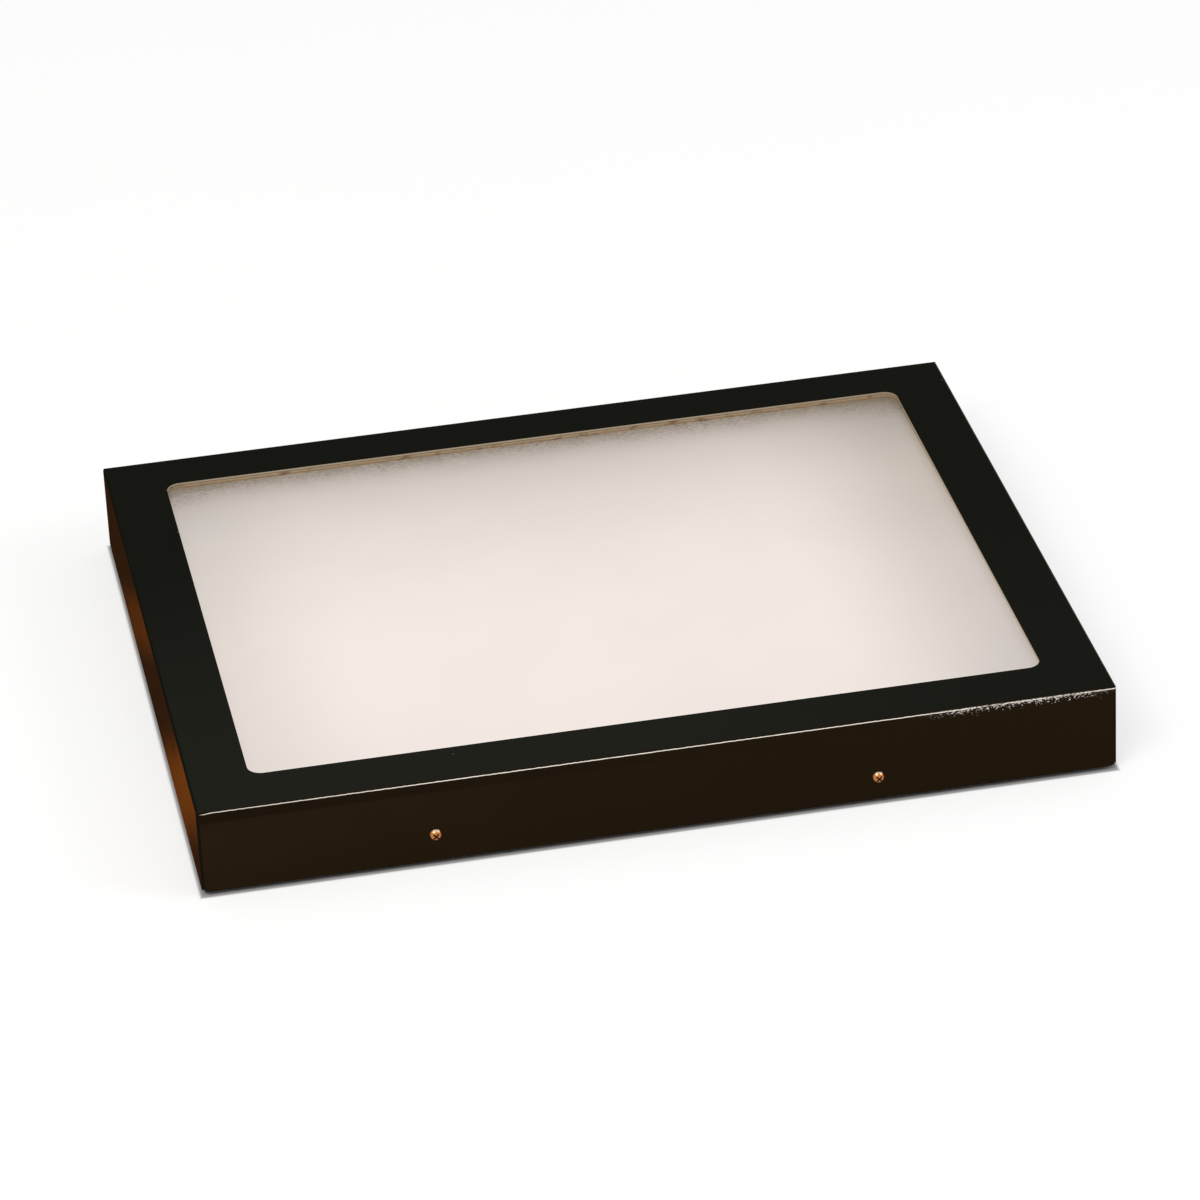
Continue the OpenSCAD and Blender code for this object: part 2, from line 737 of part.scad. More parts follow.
// Circuit board with its chokes, capacitors and the connectors that show at both ends
module ballast_board() {
    board_w = ballast_w - 2 * ballast_t - 0.8;
    board_l = ballast_l - 2 * ballast_t - 0.8;
    board_z = 3.2;
    connector = [10, 10, 5];
    choke = [12, 18, 10];
    film_capacitor = [8, 5, 8];
    color(board_green) {
        translate([-board_w / 2, -board_l / 2, board_z]) cube([board_w, board_l, board_t]);
        for (y = [-1, 1] * (board_l - connector[1]) / 2) on_board(connector, y, board_z);
        for (y = [-32, 24]) on_board(choke, y, board_z);
        for (y = [-8, 46]) translate([0, y, board_z + board_t]) cylinder(r = 5, h = 11, $fn = 32);
        for (y = [-50, 5, 56]) on_board(film_capacitor, y, board_z);
    }
}

// A component standing on the board, y along it from the middle
module on_board(size, y, board_z) {
    translate([-size[0] / 2, y - size[1] / 2, board_z + board_t]) cube(size);
}

module at_ballast(side) {
    translate([side * ballast_x, side > 0 ? ballast_right_y : 0, floor_z]) children();
}

module terminal_block() {
    color(glass_white) translate([block_x, block_y, floor_z]) difference() {
        for (i = [-1:1]) translate([-block_w / 2, i * block_pitch - block_pitch / 2, 0])
            cube([block_w, block_pitch, i == 0 ? block_h - 4 : block_h]);
        translate([0, 0, -cut]) cylinder(r = m3_hole_r, h = block_h + 2 * cut);
        for (i = [-1, 1], x = [-1, 1]) {
            translate([x * block_way, i * block_pitch, 4]) cylinder(r = 2, h = block_h);
            translate([x * block_way, i * block_pitch, 6]) rotate([-90, 0, 0])
                translate([0, 0, i > 0 ? 0 : -block_pitch]) cylinder(r = 1.6, h = block_pitch);
        }
    }
}

module terminal_screws() {
    color(brass) translate([block_x, block_y, floor_z])
        for (i = [-1, 1], x = [-1, 1]) translate([x * block_way, i * block_pitch, 8.2]) difference() {
            cylinder(r = 1.9, h = 4.5, $fn = 24);
            translate([-3, -0.4, 3.7]) cube([6, 0.8, 2]);
        }
}

// ---- inlet and switch ----

// Section of the inlet with the two chamfered upper corners that key the plug
module keyed_rect(w, h, chamfer) {
    polygon([[-w / 2, -h / 2], [w / 2, -h / 2], [w / 2, h / 2 - chamfer], [w / 2 - chamfer, h / 2],
        [-w / 2 + chamfer, h / 2], [-w / 2, h / 2 - chamfer]]);
}

inlet_face_y = wall_y + inlet_flange_t;
inlet_back_y = inlet_face_y - inlet_cavity_l - inlet_wall;
inlet_blades = [
    [-blade_pitch / 2, -blade_rise / 2], [blade_pitch / 2, -blade_rise / 2], [0, blade_rise / 2]];

module inlet_body() {
    color(black_plastic) translate([inlet_x, 0, socket_z]) difference() {
        union() {
            translate([0, inlet_face_y, 0]) rotate([90, 0, 0]) linear_extrude(inlet_flange_t)
                rounded_rect(inlet_flange_w, inlet_flange_h, 4);
            translate([0, inlet_face_y - 0.1, 0]) rotate([90, 0, 0])
                linear_extrude(inlet_cavity_l + inlet_wall - 0.1) keyed_rect(inlet_w, inlet_h, 5);
        }
        translate([0, inlet_face_y + cut, 0]) rotate([90, 0, 0])
            linear_extrude(inlet_cavity_l + cut) keyed_rect(inlet_cavity_w, inlet_cavity_h, 4.5);
        for (b = inlet_blades) translate([b[0], inlet_back_y, b[1]])
            cube([blade_w + 0.04, 4 * inlet_wall, blade_h + 0.04], center = true);
        for (x = [-1, 1]) translate([x * inlet_screw_pitch / 2, inlet_face_y, 0]) rotate([90, 0, 0]) {
            translate([0, 0, -cut]) cylinder(r = m3_hole_r, h = inlet_flange_t + 2 * cut);
            translate([0, 0, -0.05]) cylinder(r1 = 3.15, r2 = m3_hole_r, h = 1.75);
        }
    }
}

module inlet_pins() {
    blade_l = inlet_cavity_l + inlet_wall;
    color(plated) translate([inlet_x, inlet_back_y - 3, socket_z])
        for (b = inlet_blades) translate([b[0] - blade_w / 2, 0, b[1] - blade_h / 2])
            cube([blade_w, blade_l, blade_h]);
}

module inlet_screws() {
    color(plated) for (x = [-1, 1])
        translate([inlet_x + x * inlet_screw_pitch / 2, inlet_face_y, socket_z]) rotate([-90, 0, 0])
            cross_screw(2.9, 1.6, m3_r, 8, domed = false);
}

module inlet_nuts() {
    color(plated) for (x = [-1, 1])
        translate([inlet_x + x * inlet_screw_pitch / 2, wall_y - tray_t, socket_z]) rotate([90, 0, 0])
            nut(m3_nut_af, m3_nut_h, m3_r);
}

module switch_body() {
    shell = 0.9;
    color(black_plastic) translate([switch_x, 0, socket_z]) difference() {
        union() {
            translate([0, wall_y + switch_flange_t, 0]) rotate([90, 0, 0]) linear_extrude(switch_flange_t)
                rounded_rect(switch_flange_w, switch_flange_h, 1.5);
            translate([-switch_w / 2, wall_y - switch_l, -switch_h / 2])
                cube([switch_w, switch_l + 0.1, switch_h]);
        }
        translate([0, wall_y + switch_flange_t + cut - 4.5, 0])
            cube([rocker_w + 2 * rocker_gap, 11 + 2 * cut, rocker_h + 2 * rocker_gap], center = true);
        translate([0, pivot_y, -switch_h / 2 + shell / 2])
            cylinder(r = pivot_r + pivot_gap, h = switch_h - shell, $fn = 32);
        for (x = [-1, 0, 1]) translate([x * tab_pitch, wall_y - switch_l, 0])
            cube([tab_w + 0.04, 2 * tab_out, tab_h + 0.04], center = true);
    }
}

// The rocker's face is two flats that meet at a shallow angle; at rest its left half is pressed in
module switch_rocker() {
    half = rocker_w / 2;
    rise = wall_y + switch_flange_t - pivot_y;
    slope = tan(rocker_swing / 2);
    color(black_plastic) translate([switch_x, pivot_y, socket_z]) rotate(rocker_swing / 2) difference() {
        union() {
            translate([0, 0, -rocker_h / 2]) linear_extrude(rocker_h) polygon([
                [-half * 0.93, rise - 2], [-3, 0], [-2, -2.4], [2, -2.4], [3, 0], [half * 0.93, rise - 2],
                [half * 0.93, rise + half * slope], [0, rise], [-half * 0.93, rise + half * slope]]);
            translate([0, 0, -switch_h / 2 + 0.75]) cylinder(r = pivot_r, h = switch_h - 1.5, $fn = 32);
        }
        translate([-half * 0.52, rise + half * 0.52 * slope, 0]) rotate([90, 0, 0]) {
            translate([-0.35, -2, -cut]) cube([0.7, 4, cut + 0.4]);
        }
        translate([half * 0.52, rise + half * 0.52 * slope + cut, 0]) rotate([90, 0, 0]) difference() {
            cylinder(r = 2.1, h = cut + 0.5, $fn = 32);
            cylinder(r = 1.4, h = cut + 1, $fn = 32);
        }
    }
}

module switch_tabs() {
    color(brass) for (x = [-1, 0, 1])
        translate([switch_x + x * tab_pitch - tab_w / 2, wall_y - switch_l - tab_out, socket_z - tab_h / 2])
            cube([tab_w, tab_l, tab_h]);
}

lug_t = 0.8;

module earth_lug() {
    ring_r = 4.2;
    tail = [4.4, 6, lug_t];
    color(plated) translate([ballast_x, earth_y, floor_z]) {
        washer(ring_r, m4_r + 0.15, lug_t);
        translate([-tail[0] / 2, ring_r - 0.4, 0]) cube(tail);
        translate([0, 0, lug_t]) nut(m4_nut_af, m4_nut_h, m4_r);
    }
}

// ---- leads ----

tab_y = inlet_back_y - 2;                   // where leads meet the inlet's tabs
switch_tab_y = wall_y - switch_l - 2;
block_rear = block_y + 1.5 * block_pitch;
block_front = block_y - 1.5 * block_pitch;
case_rear = ballast_right_y + ballast_l / 2;
case_front = ballast_right_y - ballast_l / 2;
block_lead_z = floor_z + 6;
case_lead_z = floor_z + 7.6;                // height of the openings in a ballast's ends
lead_low = floor_z + 1.2;                   // lying on the tray's floor
lead_mid = lead_low + 2.2;                  // lying on another lead
over_foot = floor_z + foot_barb_h + lead_r + 0.4;
over_ledge = reflector_floor + reflector_t + lead_r + 0.2;
over_case = floor_z + ballast_h + loom_r + 0.7;
blade_foot = socket_z - blade_rise / 2 - blade_h / 2 - 0.1;
tab_foot = socket_z - 2.7;

module mains_leads() {
    color(grey_lead) {
        // inlet to switch
        lead([[inlet_x - 7, tab_y, blade_foot], [inlet_x - 7, tab_y, lead_mid],
            [inlet_x - 8, race_y - 3, lead_mid],
            [inlet_x - 18, race_y, lead_mid], [switch_x + 18, race_y, lead_mid + 1.6],
            [switch_x + 10, race_y - 1, over_ledge + 2], [switch_x + 6, race_y - 5, over_ledge + 2],
            [switch_x + 6, switch_tab_y + 0.9, over_ledge + 2], [switch_x + 6, switch_tab_y, tab_foot]],
            lead_r, [1, 0, 0]);
        // switch to terminal block
        lead([[switch_x, switch_tab_y, tab_foot], [switch_x, switch_tab_y + 1, over_ledge],
            [switch_x, race_y - 4, over_ledge], [switch_x + 3, race_y, over_ledge - 1],
            [switch_x + 12, race_y, lead_low], [inlet_x - 18, race_y, lead_low],
            [inlet_x + 16, race_y, lead_low],
            [block_x + 7, race_y - 8, lead_mid], [block_x + 7, earth_y - 8, block_lead_z - 1],
            [block_x + block_way, block_rear + 5, block_lead_z],
            [block_x + block_way, block_rear - 4, block_lead_z]],
            lead_r, [1, 0, 0]);
        // inlet to terminal block
        lead([[inlet_x + 7, tab_y, blade_foot], [inlet_x + 7, tab_y, over_foot],
            [block_x - 12.3, tab_y - 5, over_foot], [block_x - 8, tab_y - 11, over_foot],
            [block_x - 8, earth_y - 8, block_lead_z - 1],
            [block_x - block_way, block_rear + 5, block_lead_z],
            [block_x - block_way, block_rear - 4, block_lead_z]],
            lead_r, [1, 0, 0]);
        // terminal block to the right ballast
        for (x = [-1, 1]) lead([[block_x + x * block_way, block_front + 4, block_lead_z],
            [block_x + x * block_way, block_front - 3, block_lead_z],
            [block_x + x * 3, case_rear + 6, case_lead_z],
            [block_x + x * 3, case_rear - 0.2, case_lead_z]], lead_r, [1, 0, 0]);
        // right ballast on to the left one, round the front
        lead([[ballast_x, case_rear - 0.2, case_lead_z], [ballast_x, case_rear + 6, case_lead_z],
            [ballast_x, case_rear + 9, case_lead_z + 6], [ballast_x - 3, case_rear + 6, over_case + 1],
            [ballast_x - 5, case_rear - 4, over_case], [ballast_x - 5, case_front + 4, over_case],
            [ballast_x - 5, case_front - 14, over_case], [ballast_x - 3, 10 - race_y, over_case - 8],
            [ballast_x - 6, -race_y, floor_z + 4], [ballast_x - 20, -race_y, floor_z + 1.8],
            [20 - ballast_x, -race_y, floor_z + 1.8], [4 - ballast_x, 4 - race_y, floor_z + 1.8],
            [-ballast_x, 20 - race_y, floor_z + 2.4], [-ballast_x, -ballast_l / 2 - 18, floor_z + 2.4],
            [-ballast_x, -ballast_l / 2 - 12, case_lead_z + 1],
            [-ballast_x, -ballast_l / 2 - 6, case_lead_z],
            [-ballast_x, -ballast_l / 2 + 0.2, case_lead_z]], loom_r, [1, 0, 0]);
    }
}

module earth_lead() {
    earth_foot = socket_z + blade_rise / 2 - blade_h / 2 - 0.1;
    lug_lead_z = floor_z + lug_t + lead_r;
    color(earth_green) lead([[inlet_x, tab_y, earth_foot], [inlet_x, tab_y, over_foot + 4],
        [inlet_x + 4, tab_y - 2, over_foot + 3], [ballast_x - 10.3, tab_y - 3, over_foot + 3],
        [ballast_x, earth_y + 18, lug_lead_z + 2], [ballast_x, earth_y + 10, lug_lead_z],
        [ballast_x, earth_y + 5.4, lug_lead_z]], lead_r, [1, 0, 0]);
}

// Looms from a ballast's free end to two lampholders at the near wall and, over the case, to
// the two at the far wall. Drawn for the right ballast.
module lamp_leads(case_end) {
    wall_run = holder_y + holder_t + loom_r + 0.1;
    low = floor_z + 1.8;
    corner_x = ballast_x - 2;
    last_x = lamp_pitch / 2 - 3;
    color(grey_lead) {
        lead([[ballast_x - 3, case_end + 0.2, case_lead_z], [ballast_x - 3, case_end - 8, case_lead_z],
            [ballast_x - 3, case_end - 16, low + 1], [corner_x, 16 - race_y, low + 1],
            [corner_x - 8, -wall_run, low + 5], [corner_x - 24, -wall_run, low + 6.2],
            [last_x, -wall_run, low + 6.2]], loom_r, [1, 0, 0]);
        lead([[ballast_x + 3, case_end + 0.2, case_lead_z], [ballast_x + 3, case_end - 9, case_lead_z],
            [ballast_x + 4, case_end - 13, case_lead_z + 7], [ballast_x + 4, case_end - 8, over_case],
            [ballast_x + 4, case_end + 4, over_case], [ballast_x + 4, case_end + ballast_l, over_case],
            [ballast_x + 4, race_y - 40, over_case + 5], [corner_x, race_y - 12, over_case + 8],
            [corner_x - 10, wall_run, over_case + 8], [1.7 * lamp_pitch, wall_run, over_case + 8],
            [1.55 * lamp_pitch, wall_run, over_case + 3.8], [1.1 * lamp_pitch, wall_run, over_case + 3.8],
            [0.8 * lamp_pitch, wall_run, over_case - 4], [last_x, wall_run, over_case - 6]],
            loom_r, [1, 0, 0]);
    }
}

module lamp_leads_right() {
    lamp_leads(case_front);
}

// The left ballast is turned round, so its looms leave towards the rear
module lamp_leads_left() {
    rotate(180) lamp_leads(-ballast_l / 2);
}

lid();
gasket();
diffuser();
lid_studs();
clamp_front();
clamp_rear();
clamp_left();
clamp_right();
clamp_nuts();
tray();
tray_studs();
stud_spacers();
tray_nuts();
feet();
lid_screws();
clinch_nuts();
reflector();
reflector_end_front();
reflector_end_rear();
for (i = [0:3]) {
    holder_front(i);
    holder_rear(i);
    lamp_tube(i);
    lamp_caps(i);
    lamp_collars(i);
}
holder_contacts();
at_ballast(-1) ballast_case();  // ballast_case_left
at_ballast(1) ballast_case();  // ballast_case_right
at_ballast(-1) ballast_board();  // ballast_board_left
at_ballast(1) ballast_board();  // ballast_board_right
terminal_block();
terminal_screws();
inlet_body();
inlet_pins();
inlet_screws();
inlet_nuts();
switch_body();
switch_rocker();
switch_tabs();
earth_lug();
mains_leads();
earth_lead();
lamp_leads_left();
lamp_leads_right();
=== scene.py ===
import math

import bpy
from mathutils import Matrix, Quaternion, Vector


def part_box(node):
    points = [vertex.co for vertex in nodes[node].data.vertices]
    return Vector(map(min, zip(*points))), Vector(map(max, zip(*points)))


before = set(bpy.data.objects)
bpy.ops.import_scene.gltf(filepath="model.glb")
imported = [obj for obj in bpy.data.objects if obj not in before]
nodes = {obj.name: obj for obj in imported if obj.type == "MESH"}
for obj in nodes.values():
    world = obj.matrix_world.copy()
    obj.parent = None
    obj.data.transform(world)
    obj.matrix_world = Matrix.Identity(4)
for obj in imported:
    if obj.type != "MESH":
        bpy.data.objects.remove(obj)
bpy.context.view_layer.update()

mm = 0.001


# ---- camera ----

# Azimuth turns the camera's aim to the right of straight back, roll tips its right side down.
viewpoint = {
    "aim": (6.42, 10.91, 21.52),      # mm
    "distance": 2748.9,               # mm
    "azimuth": 9.7812,
    "elevation": 29.0030,
    "roll": 2.8394,
    "lens": 178.14,
    "sensor": 36.0,
}


def placeCamera(settings):
    turn = math.radians(settings["azimuth"])
    rise = math.radians(settings["elevation"])
    direction = Vector((math.sin(turn) * math.cos(rise), math.cos(turn) * math.cos(rise), -math.sin(rise)))
    data = bpy.data.cameras.new("studioCamera")
    data.lens = settings["lens"]
    data.sensor_width = settings["sensor"]
    data.clip_start = 0.05
    data.clip_end = 60
    camera = bpy.data.objects.new("studioCamera", data)
    camera.location = Vector(settings["aim"]) * mm - direction * settings["distance"] * mm
    level = direction.to_track_quat("-Z", "Y")
    tip = Quaternion((0, 0, 1), -math.radians(settings["roll"]))
    camera.rotation_mode = "QUATERNION"
    camera.rotation_quaternion = level @ tip
    bpy.context.scene.collection.objects.link(camera)
    bpy.context.scene.camera = camera


placeCamera(viewpoint)
bpy.context.scene.view_settings.view_transform = "Standard"
print("camera placed")


# ---- helpers for building materials out of nodes ----

def newFinish(name):
    material = bpy.data.materials.new(name)
    material.use_nodes = True
    tree = material.node_tree
    tree.nodes.clear()
    shader = tree.nodes.new("ShaderNodeBsdfPrincipled")
    output = tree.nodes.new("ShaderNodeOutputMaterial")
    tree.links.new(shader.outputs["BSDF"], output.inputs["Surface"])
    return material, tree, shader


def feed(tree, socket, value):
    if isinstance(value, bpy.types.NodeSocket):
        tree.links.new(value, socket)
    elif isinstance(value, (tuple, list)) and len(socket.default_value) > len(value):
        socket.default_value = (*value, 1)
    else:
        socket.default_value = value


def addNode(tree, kind, inputs, **properties):
    node = tree.nodes.new(kind)
    for key, value in properties.items():
        setattr(node, key, value)
    for key, value in inputs.items():
        feed(tree, node.inputs[key], value)
    return node


def math2(tree, operation, first, second=0.0):
    return addNode(tree, "ShaderNodeMath", {0: first, 1: second}, operation=operation).outputs[0]


def times(tree, first, second):
    return math2(tree, "MULTIPLY", first, second)


def size(tree, value):
    return math2(tree, "ABSOLUTE", value)


def opposite(tree, value):
    return math2(tree, "SUBTRACT", 1.0, value)


# 0 below low, 1 above high, smooth between; low above high turns it round
def rise(tree, value, low, high, top=1.0):
    low, high, start, end = (low, high, 0.0, top) if low < high else (high, low, top, 0.0)
    inputs = {"Value": value, "From Min": low, "From Max": high, "To Min": start, "To Max": end}
    return addNode(tree, "ShaderNodeMapRange", inputs, interpolation_type="SMOOTHSTEP").outputs["Result"]


# 1 between low and high, fading to 0 over soft on either side
def band(tree, value, low, high, soft):
    return times(tree, rise(tree, value, low - soft, low), rise(tree, value, high + soft, high))


def mixed(tree, factor, first, second):
    node = addNode(tree, "ShaderNodeMix", {0: factor}, data_type="RGBA")
    feed(tree, node.inputs[6], first)
    feed(tree, node.inputs[7], second)
    return node.outputs[2]


def shaded(tree, colour, amount):
    inputs = {0: 1.0}
    node = addNode(tree, "ShaderNodeMix", inputs, data_type="RGBA", blend_type="MULTIPLY")
    feed(tree, node.inputs[6], colour)
    feed(tree, node.inputs[7], amount)
    return node.outputs[2]


def place(tree):
    return addNode(tree, "ShaderNodeTexCoord", {}).outputs["Object"]


def facing(tree):
    return addNode(tree, "ShaderNodeTexCoord", {}).outputs["Normal"]


def axes(tree, vector):
    parts = addNode(tree, "ShaderNodeSeparateXYZ", {0: vector}).outputs
    return parts[0], parts[1], parts[2]


# Noise from 0 to 1; scale is features per metre, stretch multiplies it along each axis
def noise(tree, scale, detail=2.0, roughness=0.5, stretch=(1, 1, 1), shift=(0, 0, 0)):
    moved = addNode(tree, "ShaderNodeMapping", {"Vector": place(tree), "Location": shift, "Scale": stretch})
    inputs = {"Vector": moved.outputs[0], "Scale": scale, "Detail": detail, "Roughness": roughness}
    return addNode(tree, "ShaderNodeTexNoise", inputs).outputs[0]


# Specks of a given radius in metres, in a share of the cells
def specks(tree, cellsPerMetre, radius, share, spread="3D"):
    inputs = {"Vector": place(tree), "Scale": cellsPerMetre, "Randomness": 1.0}
    cells = addNode(tree, "ShaderNodeTexVoronoi", inputs, voronoi_dimensions=spread)
    near = rise(tree, cells.outputs["Distance"], radius * cellsPerMetre, radius * cellsPerMetre * 0.5)
    pick = axes(tree, cells.outputs["Color"])[0]
    return times(tree, near, rise(tree, pick, 1 - share, 1 - share + 0.01))


def relief(tree, height, depth, before=None):
    inputs = {"Height": height, "Strength": 1.0, "Distance": depth}
    if before is not None:
        inputs["Normal"] = before
    return addNode(tree, "ShaderNodeBump", inputs).outputs[0]


def paint(finish, names):
    for name in names:
        slots = nodes[name].material_slots
        if not slots:
            nodes[name].data.materials.append(None)
        for slot in nodes[name].material_slots:
            slot.material = finish


# ---- black enamel of the lid and the tray ----

lidLow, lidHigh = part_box("lid")
gasketLow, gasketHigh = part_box("gasket")
halfWindow = (178.0 * mm, 139.5 * mm)

# The enamel's colours differ face by face: the greenish top and the brown front and left side are painted reflections
# of the surroundings.
enamel = {
    "top": (0.0060, 0.0067, 0.0045),
    "topPaintedSheen": (0.0140, 0.0143, 0.0108),
    "front": (0.0150, 0.0088, 0.0042),
    "frontWarmReflection": (0.0240, 0.0135, 0.0062),   # painted warm reflection, towards the left end of the front
    # the left side's brown is a painted reflection of warm surroundings
    "left": (0.052, 0.0200, 0.0080),
    "leftReflectionPatch": (0.235, 0.0650, 0.0100),
    "leftFold": (0.010, 0.010, 0.007),
    "reflectionBands": (                             # painted reflection of warm surroundings: slanting brown bands on the left side, mm
        {"y": -108, "z": 22, "slant": 1.6, "half": 62, "strength": 1.0},
        {"y": 47, "z": 22, "slant": 2.0, "half": 46, "strength": 0.5},
    ),
    "graze": (0.53, 0.525, 0.525),
    # painted highlight along the front fold, with real chips of bare steel
    "bareSteelHighlight": (0.92, 0.85, 0.76),
    "cutEdge": (0.50, 0.42, 0.31),
    "dust": (0.16, 0.17, 0.165),
    "roughness": 0.23,
    "peel": 0.000012,                        # height of the orange peel, m
}


def makeEnamel(settings):
    finish, tree, shader = newFinish("blackEnamel")
    x, y, z = axes(tree, place(tree))
    nx, ny, nz = axes(tree, facing(tree))
    mottle = noise(tree, 14, 3, 0.6)
    top = rise(tree, nz, 0.45, 0.9)
    left = times(tree, rise(tree, nx, -0.88, -0.98), rise(tree, x, -0.2, -0.204))

    # front: a painted warm reflection, warmer towards the left, with a darker strip of painted shade under the fold
    frontReflection = times(tree, rise(tree, x, 0.06, -0.21), rise(tree, mottle, 0.1, 0.8))
    frontReflection = times(tree, frontReflection, math2(tree, "ADD", rise(tree, z, 0.004, 0.03, 0.6), 0.4))
    front = mixed(tree, frontReflection, settings["front"], settings["frontWarmReflection"])
    underFoldShade = times(tree, band(tree, z, 0.0372, 0.0418, 0.0014), rise(tree, x, 0.12, -0.2, 0.5))
    front = mixed(tree, underFoldShade, front, (0.006, 0.004, 0.002))

    # left side: brown patches, a painted reflection of warm surroundings
    reflectionPatch = 0.0
    for spot in settings["reflectionBands"]:
        slanted = times(tree, math2(tree, "SUBTRACT", z, spot["z"] * mm), spot["slant"])
        away = size(tree, math2(tree, "ADD", math2(tree, "SUBTRACT", y, spot["y"] * mm), slanted))
        reflectionPatch = math2(tree, "MAXIMUM", reflectionPatch, rise(tree, away, spot["half"] * mm, 8 * mm, spot["strength"]))
    reflectionPatch = times(tree, reflectionPatch, rise(tree, noise(tree, 26, 2, 0.5, (1, 1, 2)), 0.05, 0.5))
    leftReflection = mixed(tree, reflectionPatch, settings["left"], settings["leftReflectionPatch"])

    onLeft = rise(tree, x, -0.2, -0.204)
    leftFold = times(tree, rise(tree, nx, -0.2, -0.5), onLeft)
    colour = mixed(tree, left, front, leftReflection)
    # painted shade: darker along the upright corner folds
    uprightShade = rise(tree, size(tree, times(tree, nx, ny)), 0.16, 0.42)
    colour = mixed(tree, times(tree, uprightShade, 0.8), colour, (0.004, 0.003, 0.002))
    # painted sheen: the top lighter towards its front and its left end
    lit = times(tree, rise(tree, y, 0.10, -0.15), opposite(tree, rise(tree, x, -0.03, 0.2, 0.65)))
    topColour = mixed(tree, lit, settings["top"], settings["topPaintedSheen"])
    colour = mixed(tree, top, colour, topColour)
    colour = mixed(tree, times(tree, leftFold, opposite(tree, left)), colour, settings["leftFold"])

    # the fold over the front: a thin bright line, a painted highlight partly worn to bright steel, that droops at its
    # left end
    ragged = times(tree, math2(tree, "SUBTRACT", noise(tree, 480, 3, 0.6), 0.5), 0.0005)
    leftTip = rise(tree, x, -0.1965, -0.2045)
    height = math2(tree, "ADD", math2(tree, "ADD", z, ragged), times(tree, leftTip, 0.0004))
    highlightLine = band(tree, height, lidHigh.z - 1.50 * mm, lidHigh.z - 1.26 * mm, 0.15 * mm)
    wornAndHighlight = times(tree, highlightLine, rise(tree, y, lidLow.y + 2.4 * mm, lidLow.y + 1.5 * mm))
    breaks = rise(tree, noise(tree, 75, 3, 0.6, (1, 1, 1), (3, 0, 0)), 0.20, 0.42)
    chipped = band(tree, x, 0.135, 0.186, 0.020)
    dim = math2(tree, "MAXIMUM", rise(tree, x, -0.09, -0.17, 0.18), rise(tree, x, -0.2005, -0.2040))
    dim = math2(tree, "MAXIMUM", dim, times(tree, chipped, rise(tree, noise(tree, 700, 2, 0.6), 0.56, 0.40, 0.75)))
    wornAndHighlight = times(tree, times(tree, wornAndHighlight, breaks), opposite(tree, dim))

    # towards the right end small chips spread below the line
    below = math2(tree, "SUBTRACT", lidHigh.z - 1.2 * mm, z)
    field = math2(tree, "SUBTRACT", noise(tree, 1250, 3, 0.6, (0.8, 1, 1)), times(tree, below, 62.0))
    chip = times(tree, rise(tree, field, 0.44, 0.53), rise(tree, below, -0.4 * mm, 0.0))
    chip = times(tree, chip, times(tree, chipped, rise(tree, y, lidLow.y + 1.6 * mm, lidLow.y + 1.0 * mm)))
    wornAndHighlight = math2(tree, "MAXIMUM", wornAndHighlight, times(tree, chip, 0.6))
    colour = mixed(tree, wornAndHighlight, colour, settings["bareSteelHighlight"])

    # the sheet's cut edge inside the window
    inWindow = times(tree, rise(tree, size(tree, x), halfWindow[0] + 0.10 * mm, halfWindow[0] + 0.05 * mm),
                     rise(tree, size(tree, y), halfWindow[1] + 0.10 * mm, halfWindow[1] + 0.05 * mm))
    cutEdge = times(tree, inWindow, rise(tree, z, lidHigh.z - 0.10 * mm, lidHigh.z - 0.28 * mm))
    colour = mixed(tree, cutEdge, colour, settings["cutEdge"])

    dust = times(tree, specks(tree, 34, 0.00040, 0.16, "2D"), top)
    colour = mixed(tree, dust, colour, settings["dust"])
    feed(tree, shader.inputs["Base Color"], colour)

    notMetal = math2(tree, "MAXIMUM", leftFold, math2(tree, "MAXIMUM", dust, cutEdge))
    feed(tree, shader.inputs["Metallic"], opposite(tree, notMetal))
    shader.inputs["Specular Tint"].default_value = (*settings["graze"], 1)
    shader.inputs["Specular IOR Level"].default_value = 0.0
    rough = rise(tree, mottle, 0.2, 0.8, 0.10)
    rough = math2(tree, "ADD", rough, settings["roughness"])
    feed(tree, shader.inputs["Roughness"], math2(tree, "MAXIMUM", rough, times(tree, wornAndHighlight, 0.42)))
    waves = relief(tree, noise(tree, 9, 1, 0.4), 0.0004)
    peel = relief(tree, noise(tree, 900, 2, 0.5), settings["peel"], waves)
    feed(tree, shader.inputs["Normal"], relief(tree, wornAndHighlight, -0.00006, peel))
    return finish


blackEnamel = makeEnamel(enamel)
paint(blackEnamel, ["lid", "tray"])
print("enamel painted")


# ---- opal panel ----

opal = {
    "own": (0.22, 0.205, 0.19),          # what the acrylic itself returns of the room's light
    "glowRows": (                        # painted glow, standing in for the lamps' light through the acrylic: brightness wanted from the back of the window to its front
        (-139.5, (0.870, 0.785, 0.735)),
        (-95, (0.904, 0.814, 0.759)),
        (-35, (0.904, 0.814, 0.754)),
        (20, (0.846, 0.769, 0.706)),
        (75, (0.769, 0.698, 0.646)),
        (115, (0.643, 0.582, 0.537)),
        (139.5, (0.396, 0.343, 0.300)),
    ),
    "rightTint": (1, 0.980, 0.935),      # the painted glow is yellower at the back of the right end
    "edgeLight": 0.045,                  # a brighter painted line along the near and left edges
    "grimeAndShade": (0.205, 0.168, 0.118),
    "roughness": 0.32,
}


